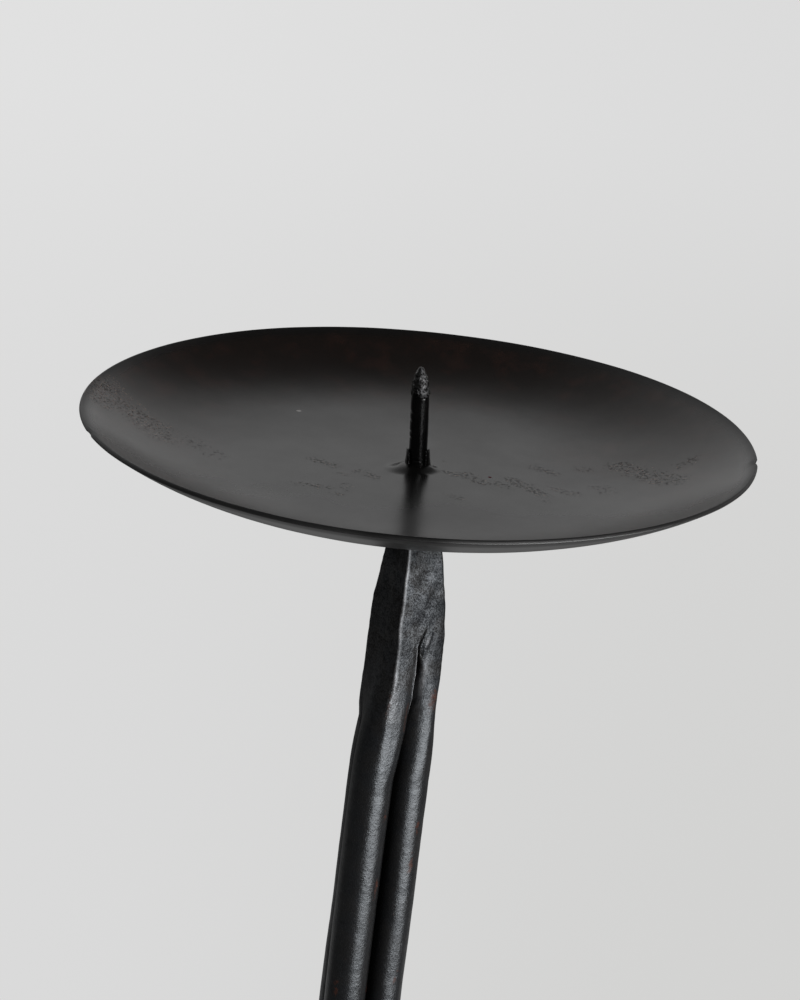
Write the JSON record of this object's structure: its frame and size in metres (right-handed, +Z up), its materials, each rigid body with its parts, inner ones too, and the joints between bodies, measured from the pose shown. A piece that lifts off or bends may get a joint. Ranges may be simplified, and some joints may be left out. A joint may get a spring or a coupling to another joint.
{
  "type": "torchere candle stand",
  "caption": "Tall forged iron floor stand for a pillar candle: shallow round drip pan with a centre pricket on a stem of bundled rods that splay into legs.",
  "frame": {"origin": "on the ground, in the middle of the footprint's bounding box", "axes": "+Z up along the stem; -Y points along the front leg, and the other two legs stand at thirds of a turn from it; +X is to the right as seen from the front leg"},
  "size_m": [0.3772, 0.3314, 1.188],
  "materials": {
    "pan_iron": "satin black patina over sheet iron, faint rust speckle at the wall",
    "stem_iron": "waxed black forged bar, satin, rust brown where it is rubbed",
    "pricket_iron": "glossy black, hammered to a point"
  },
  "bodies": {
    "root": {"drip_pan": "pan_iron", "pricket": "pricket_iron", "pan_weld": "stem_iron", "stem_head": "stem_iron", "leg_collar": "stem_iron", "leg_rod_front": "stem_iron", "foot_pad_front": "stem_iron", "foot_weld_front": "stem_iron", "leg_rod_right": "stem_iron", "foot_pad_right": "stem_iron", "foot_weld_right": "stem_iron", "leg_rod_left": "stem_iron", "foot_pad_left": "stem_iron", "foot_weld_left": "stem_iron"}
  },
  "joints": []
}
